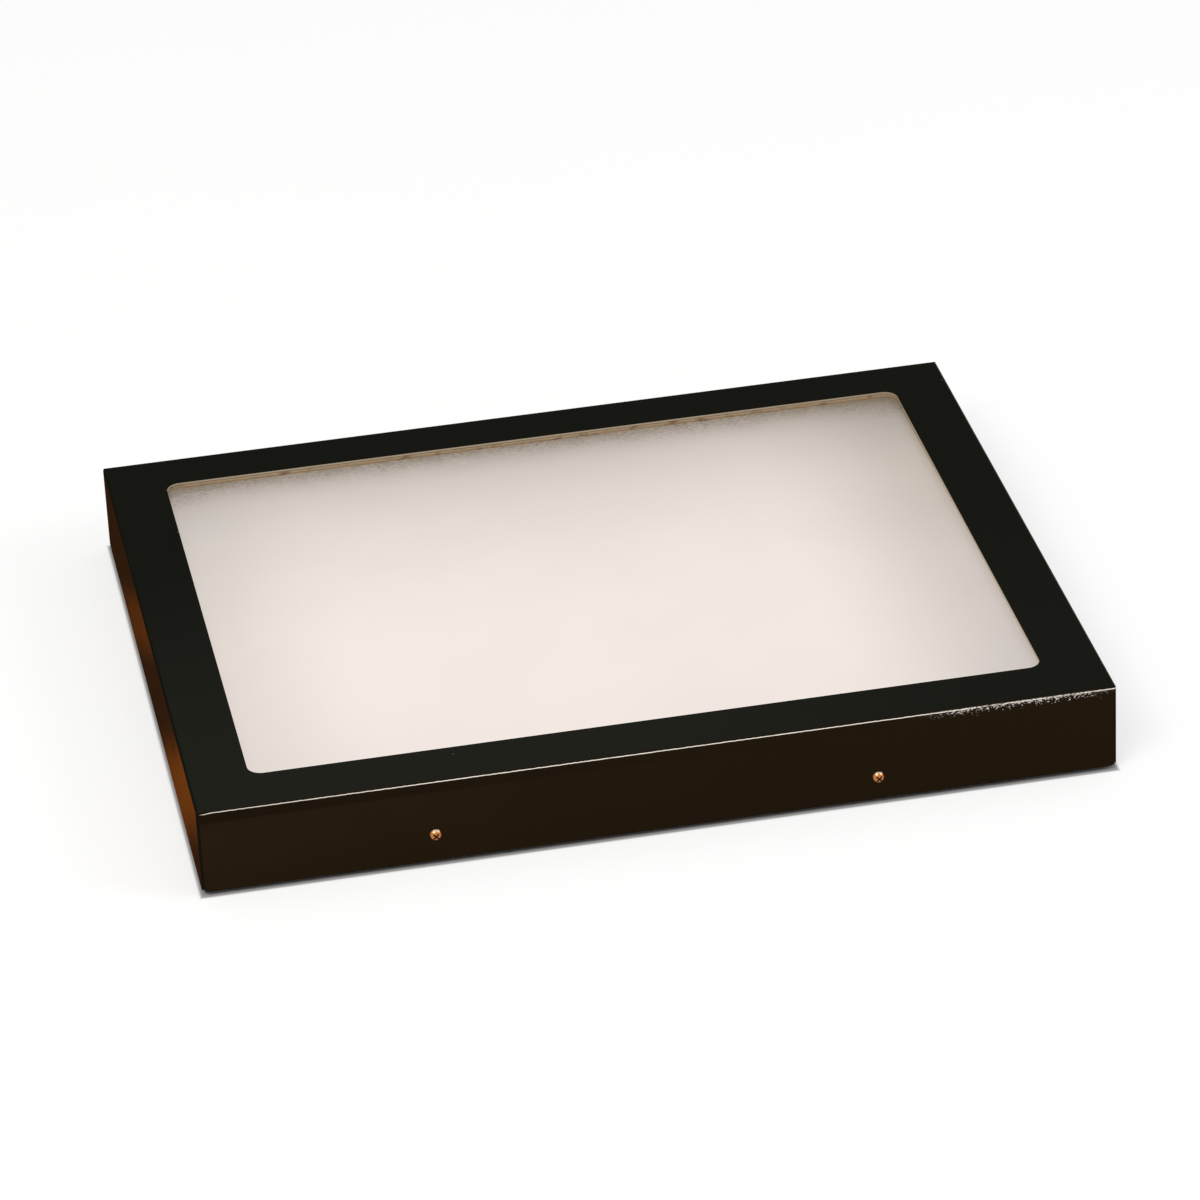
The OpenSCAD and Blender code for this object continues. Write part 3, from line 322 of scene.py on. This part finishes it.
def makeOpal(settings):
    finish, tree, shader = newFinish("opalAcrylic")
    x, y, z = axes(tree, place(tree))
    rows = settings["glowRows"]
    first, last = rows[0][0], rows[-1][0]
    along = rise(tree, y, first * mm, last * mm)
    along.node.interpolation_type = "LINEAR"
    ramp = addNode(tree, "ShaderNodeValToRGB", {0: along})
    ramp.color_ramp.interpolation = "B_SPLINE"
    stops = ramp.color_ramp.elements
    for at, colour in rows[1:-1]:
        stops.new((at - first) / (last - first)).color = (*colour, 1)
    stops[0].color = (*rows[0][1], 1)
    stops[len(rows) - 1].color = (*rows[-1][1], 1)
    wanted = ramp.outputs[0]
    leftEnd = rise(tree, x, -0.11, -0.19, 0.155)
    rightEnd = rise(tree, x, 0.09, 0.19, 0.31)
    edge = math2(tree, "MAXIMUM", rise(tree, y, -0.1329, -0.1337), rise(tree, x, -0.1761, -0.1769))
    lift = math2(tree, "ADD", 1.0, times(tree, edge, settings["edgeLight"]))
    ends = math2(tree, "SUBTRACT", lift, math2(tree, "ADD", leftEnd, rightEnd))
    cloud = rise(tree, noise(tree, 11, 2, 0.5), 0.25, 0.75, 0.035)
    wanted = shaded(tree, wanted, math2(tree, "SUBTRACT", ends, cloud))
    backRight = times(tree, rise(tree, x, 0.09, 0.185), rise(tree, y, -0.09, 0.09))
    wanted = shaded(tree, wanted, mixed(tree, backRight, (1, 1, 1), settings["rightTint"]))

    # speckled grime along the back of the window, with painted shade from the bezel along that edge, deeper in its
    # corners
    streaks = rise(tree, noise(tree, 800, 5, 0.78, (0.55, 1.1, 1)), 0.45, 0.60)
    corners = rise(tree, size(tree, x), 0.140, 0.178, 0.008)
    depth = math2(tree, "ADD", y, times(tree, noise(tree, 45, 3, 0.6), 0.012))
    depth = math2(tree, "ADD", depth, corners)
    grimeAndShade = times(tree, streaks, rise(tree, depth, 0.1275, 0.1475, 0.9))
    # painted shade: a brown haze and a band right along the back wall
    haze = times(tree, rise(tree, noise(tree, 120, 3, 0.6), 0.3, 0.7), rise(tree, depth, 0.130, 0.149, 0.42))
    grimeAndShade = math2(tree, "MAXIMUM", grimeAndShade, math2(tree, "MAXIMUM", haze, rise(tree, depth, 0.141, 0.151, 0.42)))
    wanted = mixed(tree, grimeAndShade, wanted, settings["grimeAndShade"])
    mote = specks(tree, 60, 0.0003, 0.10)
    wanted = mixed(tree, times(tree, mote, 0.25), wanted, (0.45, 0.40, 0.35))

    own = mixed(tree, grimeAndShade, settings["own"], (0.11, 0.088, 0.066))
    feed(tree, shader.inputs["Base Color"], own)
    glow = addNode(tree, "ShaderNodeVectorMath", {0: wanted, 1: own}, operation="SUBTRACT").outputs[0]
    glow = addNode(tree, "ShaderNodeVectorMath", {0: glow, 1: (0, 0, 0)}, operation="MAXIMUM").outputs[0]
    feed(tree, shader.inputs["Emission Color"], glow)
    shader.inputs["Emission Strength"].default_value = 1.0
    shader.inputs["Specular IOR Level"].default_value = 0.35
    haze = rise(tree, noise(tree, 30, 3, 0.6), 0.3, 0.8, 0.12)
    feed(tree, shader.inputs["Roughness"], math2(tree, "ADD", haze, settings["roughness"]))
    feed(tree, shader.inputs["Normal"], relief(tree, noise(tree, 700, 2, 0.5), 0.000008))
    return finish


paint(makeOpal(opal), ["diffuser"])
print("opal panel lit")


# ---- fibreboard gasket ----

fibreboard = {
    "pale": (0.57, 0.44, 0.290),
    "deep": (0.36, 0.250, 0.145),
    "stain": (0.16, 0.095, 0.050),
    "paleRightSide": (0.72, 0.68, 0.58),             # paler along the right side of the window
}


def makeFibreboard(settings):
    finish, tree, shader = newFinish("fibreboard")
    x, y, z = axes(tree, place(tree))
    # lighter towards the top of the wall
    towardsTop = rise(tree, z, gasketLow.z, gasketHigh.z)
    fibres = noise(tree, 260, 4, 0.7, (1, 1, 5))
    tone = rise(tree, math2(tree, "ADD", times(tree, fibres, 0.6), times(tree, towardsTop, 0.5)), 0.25, 0.85)
    colour = mixed(tree, tone, settings["deep"], settings["pale"])
    stain = rise(tree, noise(tree, 230, 4, 0.65, (0.6, 1, 1.5), (0.4, 0, 0)), 0.50, 0.68, 0.75)
    colour = mixed(tree, stain, colour, settings["stain"])
    # painted shadow line along the joint under the lid, in the stain colour
    seamShadow = band(tree, z, gasketHigh.z - 0.50 * mm, gasketHigh.z - 0.05 * mm, 0.2 * mm)
    colour = mixed(tree, times(tree, seamShadow, 0.6), colour, settings["stain"])
    # paler along the right side of the window, fading towards the back
    paleRightSide = times(tree, rise(tree, x, 0.1762, 0.1772), rise(tree, y, 0.13, 0.0, 0.85))
    colour = mixed(tree, paleRightSide, colour, settings["paleRightSide"])
    feed(tree, shader.inputs["Base Color"], colour)
    shader.inputs["Roughness"].default_value = 0.85
    shader.inputs["Specular IOR Level"].default_value = 0.2
    feed(tree, shader.inputs["Normal"], relief(tree, fibres, 0.00008))
    return finish


paint(makeFibreboard(fibreboard), ["gasket"])


# ---- metals ----

def makeMetal(name, colour, dull, roughness, grain, stretch=(1, 1, 1), depth=0.00001):
    finish, tree, shader = newFinish(name)
    lines = noise(tree, grain, 3, 0.6, stretch)
    cloud = rise(tree, noise(tree, 55, 3, 0.6), 0.35, 0.7)
    feed(tree, shader.inputs["Base Color"], mixed(tree, cloud, colour, dull))
    shader.inputs["Metallic"].default_value = 1.0
    rough = math2(tree, "ADD", roughness, times(tree, lines, 0.14))
    feed(tree, shader.inputs["Roughness"], rough)
    feed(tree, shader.inputs["Normal"], relief(tree, lines, depth))
    return finish


# dome-head screws: nickel, with a painted warm reflection in copper tones on the lower half of each dome
screwNickel = {
    "nickel": (0.66, 0.50, 0.37),
    "copperReflection": (0.47, 0.185, 0.062),
    "recessDirtAndShade": (0.030, 0.014, 0.007),
    "roughness": 0.17,
}


def makeScrewNickel(settings):
    finish, tree, shader = newFinish("screwNickel")
    x, y, z = axes(tree, place(tree))
    nx, ny, nz = axes(tree, facing(tree))
    # painted warm reflection: copper tones where the dome faces down
    warmReflectionLevel = math2(tree, "ADD", nz, times(tree, noise(tree, 700, 2, 0.5), 0.5))
    colour = mixed(tree, rise(tree, warmReflectionLevel, 1.08, 0.80), settings["nickel"], settings["copperReflection"])
    # painted shade with dirt in the cross recess and on its walls
    recess = rise(tree, size(tree, y), lidHigh.y + 1.22 * mm, lidHigh.y + 1.12 * mm)
    flank = rise(tree, size(tree, ny), 0.45, 0.30)
    inside = times(tree, rise(tree, size(tree, ny), 0.96, 0.995), recess)
    side = times(tree, flank, rise(tree, size(tree, y), lidHigh.y + 1.0 * mm, lidHigh.y + 1.1 * mm))
    recessDirtAndShade = math2(tree, "MAXIMUM", inside, side)
    feed(tree, shader.inputs["Base Color"], mixed(tree, recessDirtAndShade, colour, settings["recessDirtAndShade"]))
    shader.inputs["Metallic"].default_value = 1.0
    wear = noise(tree, 900, 2, 0.6)
    feed(tree, shader.inputs["Roughness"], math2(tree, "ADD", settings["roughness"], times(tree, wear, 0.12)))
    feed(tree, shader.inputs["Normal"], relief(tree, wear, 0.00001))
    return finish


nickel = makeMetal("nickelPlate", (0.72, 0.69, 0.64), (0.56, 0.53, 0.48), 0.20, 1200)
zinc = makeMetal("zincSheet", (0.60, 0.61, 0.62), (0.46, 0.47, 0.47), 0.34, 90, (1, 14, 1))
brass = makeMetal("brassStrip", (0.74, 0.55, 0.24), (0.55, 0.38, 0.15), 0.24, 1400)
capMetal = makeMetal("capAluminium", (0.78, 0.79, 0.80), (0.64, 0.65, 0.66), 0.30, 160, (1, 12, 1))
paint(makeScrewNickel(screwNickel), ["lid_screws"])
paint(nickel, ["lid_studs", "clamp_nuts", "tray_studs", "tray_nuts", "clinch_nuts"])
paint(nickel, ["inlet_pins", "inlet_screws", "inlet_nuts", "earth_lug"])
paint(zinc, ["clamp_front", "clamp_rear", "clamp_left", "clamp_right", "stud_spacers"])
paint(zinc, ["ballast_case_left", "ballast_case_right"])
paint(brass, ["holder_contacts", "terminal_screws", "switch_tabs"])
print("metals plated")


# ---- reflector paint, plastics and rubber ----

def makeCoat(name, colour, other, roughness, grain, depth, shine=0.5):
    finish, tree, shader = newFinish(name)
    fine = noise(tree, grain, 3, 0.55)
    cloud = rise(tree, noise(tree, 38, 3, 0.6), 0.3, 0.75)
    feed(tree, shader.inputs["Base Color"], mixed(tree, cloud, colour, other))
    feed(tree, shader.inputs["Roughness"], math2(tree, "ADD", roughness, times(tree, fine, 0.16)))
    shader.inputs["Specular IOR Level"].default_value = shine
    feed(tree, shader.inputs["Normal"], relief(tree, fine, depth))
    return finish


reflectorPaint = makeCoat("reflectorPaint", (0.82, 0.82, 0.79), (0.74, 0.73, 0.69), 0.55, 900, 0.00002)
whitePlastic = makeCoat("whitePlastic", (0.78, 0.77, 0.73), (0.70, 0.68, 0.62), 0.38, 1500, 0.00001)
blackPlastic = makeCoat("blackPlastic", (0.018, 0.018, 0.019), (0.030, 0.030, 0.031), 0.36, 2600, 0.00003, 0.3)
footRubber = makeCoat("footRubber", (0.012, 0.012, 0.012), (0.028, 0.027, 0.025), 0.72, 1800, 0.00004, 0.2)
holders = [f"holder_{end}_{i}" for end in ("front", "rear") for i in (1, 2, 3, 4)]
collars = [f"lamp_collars_{i}" for i in (1, 2, 3, 4)]
paint(reflectorPaint, ["reflector", "reflector_end_front", "reflector_end_rear"])
paint(whitePlastic, [*holders, *collars, "terminal_block"])
paint(blackPlastic, ["inlet_body", "switch_body", "switch_rocker"])
paint(footRubber, ["feet"])
paint(capMetal, [f"lamp_caps_{i}" for i in (1, 2, 3, 4)])
print("plastics moulded")


# ---- lamps, circuit boards and leads ----

lampGlow = {"white": (0.44, 0.435, 0.42), "end": (0.24, 0.21, 0.18), "strength": 1.25}


def makeLampGlass(settings):
    finish, tree, shader = newFinish("lampGlass")
    x, y, z = axes(tree, place(tree))
    end = rise(tree, size(tree, y), 0.112, 0.140)
    dusting = rise(tree, noise(tree, 420, 3, 0.6), 0.3, 0.8, 0.12)
    colour = mixed(tree, math2(tree, "MAXIMUM", end, dusting), settings["white"], settings["end"])
    feed(tree, shader.inputs["Base Color"], colour)
    feed(tree, shader.inputs["Emission Color"], colour)
    shader.inputs["Emission Strength"].default_value = settings["strength"]
    shader.inputs["Roughness"].default_value = 0.12
    return finish


board = {"mask": (0.018, 0.110, 0.045), "parts": (0.055, 0.050, 0.048), "foil": (0.55, 0.40, 0.12)}


def makeBoard(settings):
    finish, tree, shader = newFinish("circuitBoard")
    x, y, z = axes(tree, place(tree))
    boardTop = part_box("ballast_board_left")[0].z + 1.65 * mm
    tracks = rise(tree, noise(tree, 300, 1, 0.3, (1, 0.35, 1)), 0.55, 0.58, 0.5)
    colour = mixed(tree, tracks, settings["mask"], (0.03, 0.17, 0.07))
    colour = mixed(tree, rise(tree, z, boardTop, boardTop + 0.1 * mm), colour, settings["parts"])
    winding = times(tree, rise(tree, noise(tree, 500, 1, 0.3, (0.1, 2, 0.1)), 0.5, 0.56), rise(tree, z, 0.0155, 0.0158))
    feed(tree, shader.inputs["Base Color"], mixed(tree, times(tree, winding, 0.5), colour, settings["foil"]))
    shader.inputs["Roughness"].default_value = 0.4
    feed(tree, shader.inputs["Normal"], relief(tree, tracks, 0.00003))
    return finish


leadSleeve = {
    "grey": ((0.16, 0.16, 0.18), (0.24, 0.24, 0.26)),
    "earth": ((0.08, 0.30, 0.05), (0.75, 0.62, 0.05)),
}


def makeSleeve(name, colours, striped):
    finish, tree, shader = newFinish(name)
    x, y, z = axes(tree, place(tree))
    if striped:
        pattern = math2(tree, "SINE", times(tree, math2(tree, "ADD", math2(tree, "ADD", x, y), z), 2200.0))
        pattern = rise(tree, pattern, -0.1, 0.1)
    else:
        pattern = noise(tree, 240, 2, 0.5)
    feed(tree, shader.inputs["Base Color"], mixed(tree, pattern, *colours))
    shader.inputs["Roughness"].default_value = 0.42
    feed(tree, shader.inputs["Normal"], relief(tree, noise(tree, 1400, 2, 0.5), 0.00002))
    return finish


paint(makeLampGlass(lampGlow), [f"lamp_tube_{i}" for i in (1, 2, 3, 4)])
paint(makeBoard(board), ["ballast_board_left", "ballast_board_right"])
paint(makeSleeve("leadGrey", leadSleeve["grey"], False), ["mains_leads", "lamp_leads_left", "lamp_leads_right"])
paint(makeSleeve("leadEarth", leadSleeve["earth"], True), ["earth_lead"])
print("lamps and leads finished")


# ---- floor, room and lights ----

studio = {
    "floorColour": (0.50, 0.50, 0.50),
    "floorGlow": 0.62,                # added for what is seen directly or in a reflection
    "shadowReach": 2.0,               # mm round the case where the glow comes back
    "floorHalf": 16.0,
    "room": 0.50,                     # soft light from all round
    "lights": {
        "keySoftbox": {"at": (-1.3, -1.7, 2.4), "wide": 1.5, "deep": 1.1, "watts": 34, "colour": (1, 0.97, 0.93)},
        "fillSoftbox": {"at": (2.2, -1.0, 1.7), "wide": 1.2, "deep": 1.0, "watts": 14, "colour": (0.96, 0.98, 1)},
    },
}


def seenDirectly(tree):
    path = addNode(tree, "ShaderNodeLightPath", {}).outputs
    seen = math2(tree, "MAXIMUM", path["Is Camera Ray"], path["Is Glossy Ray"])
    return math2(tree, "MAXIMUM", seen, path["Is Transmission Ray"])


def makeFloor(settings):
    half = settings["floorHalf"]
    mesh = bpy.data.meshes.new("floor")
    corners = [(-half, -half, 0), (half, -half, 0), (half, half, 0), (-half, half, 0)]
    mesh.from_pydata(corners, [], [(0, 1, 2, 3)])
    floor = bpy.data.objects.new("floor", mesh)
    bpy.context.scene.collection.objects.link(floor)
    finish, tree, shader = newFinish("paleFloor")
    shader.inputs["Specular IOR Level"].default_value = 0.0
    shader.inputs["Roughness"].default_value = 1.0
    grain = rise(tree, noise(tree, 3, 2, 0.5), 0.2, 0.8)
    colour = settings["floorColour"]
    feed(tree, shader.inputs["Base Color"], mixed(tree, grain, colour, tuple(c * 0.99 for c in colour)))
    shader.inputs["Emission Color"].default_value = (1, 1, 1, 1)
    x, y, z = axes(tree, place(tree))
    reach = settings["shadowReach"] * mm
    clear = math2(tree, "MAXIMUM", rise(tree, size(tree, x), lidHigh.x, lidHigh.x + reach),
                  rise(tree, size(tree, y), lidHigh.y, lidHigh.y + reach))
    glow = times(tree, times(tree, seenDirectly(tree), clear), settings["floorGlow"])
    feed(tree, shader.inputs["Emission Strength"], glow)
    mesh.materials.append(finish)


def makeRoom(settings):
    world = bpy.data.worlds.new("room")
    world.use_nodes = True
    tree = world.node_tree
    tree.nodes.clear()
    strength = rise(tree, seenDirectly(tree), 0.0, 1.0, 1.0 - settings["room"])
    strength = math2(tree, "ADD", strength, settings["room"])
    background = addNode(tree, "ShaderNodeBackground", {"Color": (1, 1, 1), "Strength": strength})
    output = tree.nodes.new("ShaderNodeOutputWorld")
    tree.links.new(background.outputs[0], output.inputs["Surface"])
    bpy.context.scene.world = world


def makeLights(settings):
    middle = Vector((0, 0, 0.02))
    for name, light in settings["lights"].items():
        data = bpy.data.lights.new(name, "AREA")
        data.shape = "RECTANGLE"
        data.size = light["wide"]
        data.size_y = light["deep"]
        data.energy = light["watts"]
        data.color = light["colour"]
        lamp = bpy.data.objects.new(name, data)
        lamp.location = light["at"]
        lamp.rotation_mode = "QUATERNION"
        lamp.rotation_quaternion = (middle - Vector(light["at"])).to_track_quat("-Z", "Y")
        bpy.context.scene.collection.objects.link(lamp)


makeFloor(studio)
makeRoom(studio)
makeLights(studio)
print("studio lit")
